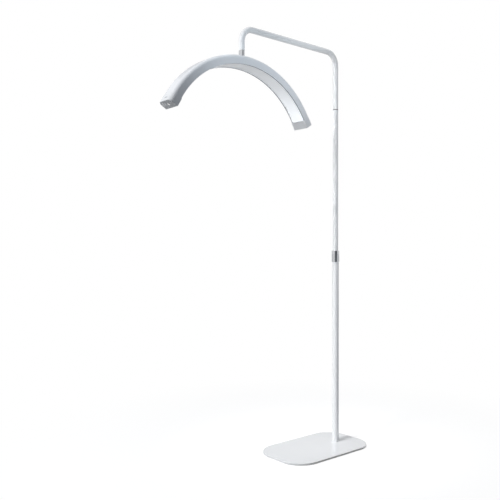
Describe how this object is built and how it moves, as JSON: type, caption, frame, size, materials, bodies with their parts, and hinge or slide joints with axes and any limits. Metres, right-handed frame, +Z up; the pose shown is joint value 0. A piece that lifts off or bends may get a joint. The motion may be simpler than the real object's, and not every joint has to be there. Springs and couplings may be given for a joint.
{
  "type": "half-moon floor lamp",
  "caption": "White floor lamp with a flat rounded foot, telescopic pole, turning bent arm and an arched LED head that swivels on a bright stem.",
  "frame": {"origin": "centre of the foot's footprint, on the floor", "axes": "+Z up; the arm points to -X, so the pole stands at +X and the head hangs at -X; the arch lies in the XZ plane and -Y is its front"},
  "size_m": [1.035, 0.286, 1.8002],
  "materials": {
    "gloss_white": "gloss white powder coat on steel",
    "head_white": "gloss white coat on an aluminium channel",
    "cap_white": "moulded white plastic",
    "bright_metal": "bright plated metal",
    "zinc_steel": "zinc plated steel",
    "nylon": "natural nylon",
    "dark_plastic": "dark moulded plastic",
    "pad_rubber": "ribless rubber sheet",
    "board_white": "white coated aluminium circuit board",
    "led_yellow": "phosphor face",
    "opal": "opal diffuser with a fine prismatic face",
    "circuit_green": "green circuit board",
    "button_grey": "light grey moulded key",
    "pin_brass": "plain brass",
    "lead_red": "insulated lead"
  },
  "bodies": {
    "stand": {"base_plate": "gloss_white", "base_pad": "pad_rubber", "foot_screw": "zinc_steel", "foot_plug": "zinc_steel", "lower_pole": "gloss_white", "clamp_ferrule": "zinc_steel", "clamp_collet": "nylon"},
    "clamp": {"lock_collar": "bright_metal"},
    "mast": {"upper_pole": "gloss_white", "glide_bush": "nylon", "top_bush": "nylon", "joint_ring": "dark_plastic"},
    "arm": {"arm_tube": "gloss_white", "arm_spigot": "zinc_steel", "spigot_screw": "zinc_steel", "arm_end_plug": "zinc_steel", "plug_screw": "zinc_steel"},
    "lamp": {"swivel_stem": "bright_metal", "stem_washer": "nylon", "stem_spring": "zinc_steel", "stem_circlip": "zinc_steel", "saddle_plate": "zinc_steel", "stem_nut": "zinc_steel", "lamp_housing": "head_white", "led_board_left": "board_white", "led_board_right": "board_white", "leds_left": "led_yellow", "leds_right": "led_yellow", "board_link": "nylon", "diffuser": "opal", "end_cap_left": "cap_white", "end_cap_right": "cap_white", "cap_screws": "zinc_steel", "driver_board": "circuit_green", "driver_parts": "dark_plastic", "tact_switch": "dark_plastic", "dc_jack": "bright_metal", "jack_pin": "pin_brass", "jack_nut": "zinc_steel", "wiring": "lead_red"},
    "button": {"power_button": "button_grey"}
  },
  "joints": [
    {"name": "collar_twist", "type": "hinge", "parent": "stand", "child": "clamp", "pos_m": [0.13, 0, 0.8585], "axis": [0, 0, 1], "range_deg": [0, 120]},
    {"name": "mast_slide", "type": "slide", "parent": "stand", "child": "mast", "axis": [0, 0, 1], "range_m": [-0.6, 0.025]},
    {"name": "arm_swivel", "type": "hinge", "parent": "mast", "child": "arm", "pos_m": [0.13, 0, 1.5325], "axis": [0, 0, 1], "continuous": true},
    {"name": "lamp_swivel", "type": "hinge", "parent": "arm", "child": "lamp", "pos_m": [-0.425, 0, 1.6937], "axis": [0, 0, 1], "continuous": true},
    {"name": "button_press", "type": "slide", "parent": "lamp", "child": "button", "axis": [0.8616, 0, -0.5075], "range_m": [0, 0.0007], "stiffness_N_per_m": 1500, "springref_m": -0.0007}
  ]
}
